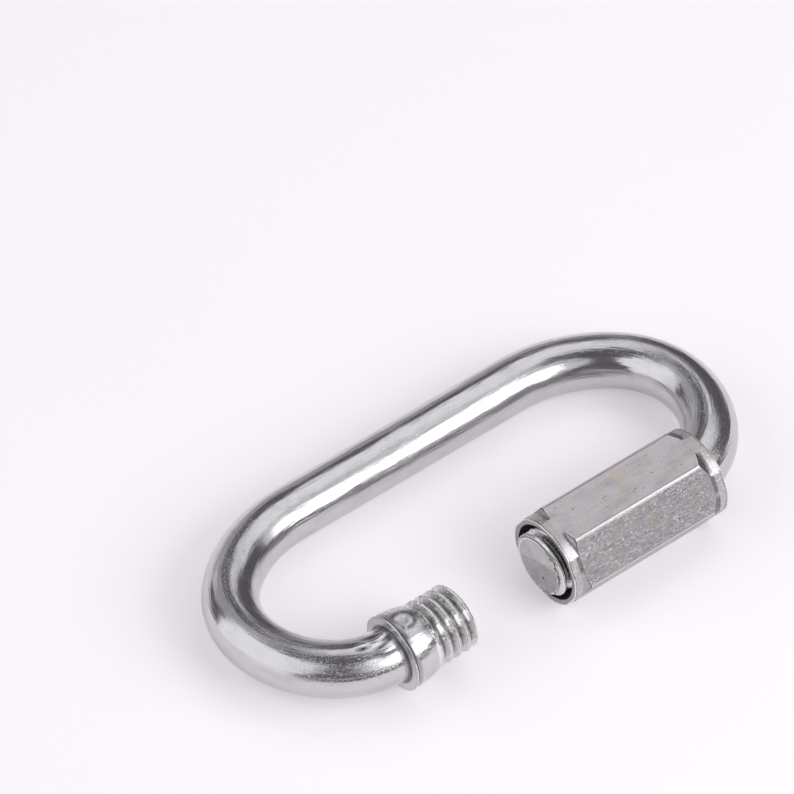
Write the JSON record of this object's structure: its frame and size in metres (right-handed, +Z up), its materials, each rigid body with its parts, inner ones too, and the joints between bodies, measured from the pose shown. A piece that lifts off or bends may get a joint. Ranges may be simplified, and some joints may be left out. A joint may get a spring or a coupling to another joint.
{
  "type": "oval quick link",
  "caption": "Open oval connecting link of bent round steel rod, with a long hexagonal sleeve nut that runs across its mouth to close it.",
  "frame": {"origin": "centre of the base of the whole link as it lies on a table, below the middle of its oval", "axes": "+X along the two long sides, from the stop collar's bow to the nut's bow; +Y from the mouth's side to the closed side; +Z up, across the link"},
  "size_m": [0.084, 0.0414, 0.013],
  "materials": {
    "rod_steel": "bright bent rod, polished along its length, with fine scratches and a few pits",
    "nut_steel": "satin drawn flats with fine pits, turned ends and worn bright edges"
  },
  "bodies": {
    "link_body": {"link_body": "rod_steel"},
    "nut": {"sleeve_nut": "nut_steel"}
  },
  "joints": [
    {"name": "nut_travel", "type": "slide", "parent": "link_body", "child": "nut", "axis": [-1, 0, 0], "range_m": [0, 0.0225]}
  ]
}
